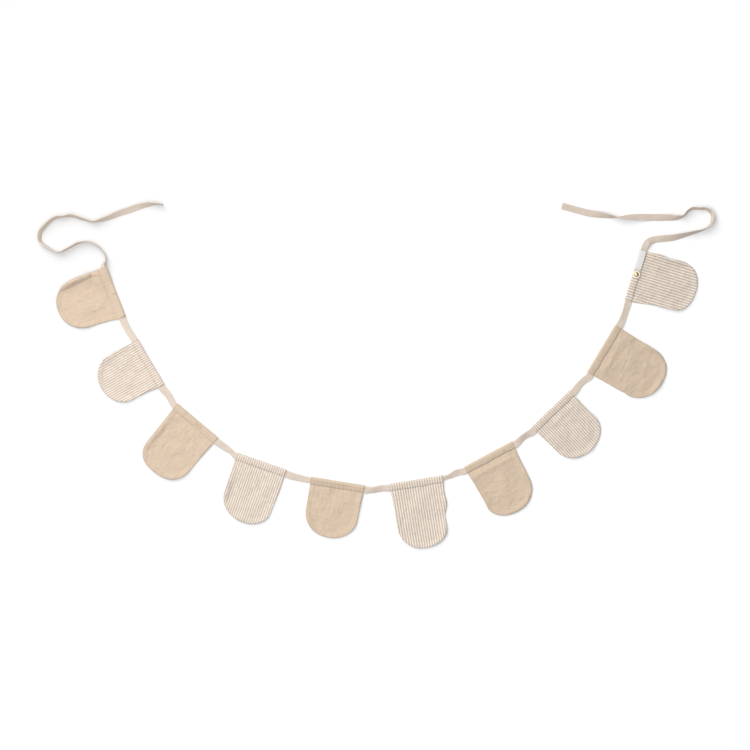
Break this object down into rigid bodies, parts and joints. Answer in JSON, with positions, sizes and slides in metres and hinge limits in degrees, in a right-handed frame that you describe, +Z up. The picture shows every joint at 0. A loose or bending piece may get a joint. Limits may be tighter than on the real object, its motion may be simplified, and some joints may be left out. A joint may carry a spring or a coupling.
{
  "type": "bunting",
  "caption": "Fabric bunting with rounded flags in alternating plain and striped muslin on a flat cotton tape with free tie ends, laid flat in a shallow U",
  "frame": {"origin": "on the surface, under the middle of the whole string's outline as seen from above", "axes": "+X runs across the string from its first tie to its last, +Y from the middle flags towards the ties, +Z up off the surface and out of the flags' face side"},
  "size_m": [1.4855, 0.7599, 0.0158],
  "materials": {
    "muslin_plain": "matt crinkled weave",
    "muslin_striped": "matt crinkled weave with fine stripes",
    "cotton_tape": "matt tape weave",
    "woven_label": "matt fine weave, blank",
    "white_disc": "satin",
    "brass_stud": "polished"
  },
  "bodies": {
    "root": {"flag_01": "muslin_plain", "flag_02": "muslin_striped", "flag_03": "muslin_plain", "flag_04": "muslin_striped", "flag_05": "muslin_plain", "flag_06": "muslin_striped", "flag_07": "muslin_plain", "flag_08": "muslin_striped", "flag_09": "muslin_plain", "flag_10": "muslin_striped", "tape": "cotton_tape", "label": "woven_label", "stud_disc": "white_disc", "stud": "brass_stud"}
  },
  "joints": []
}
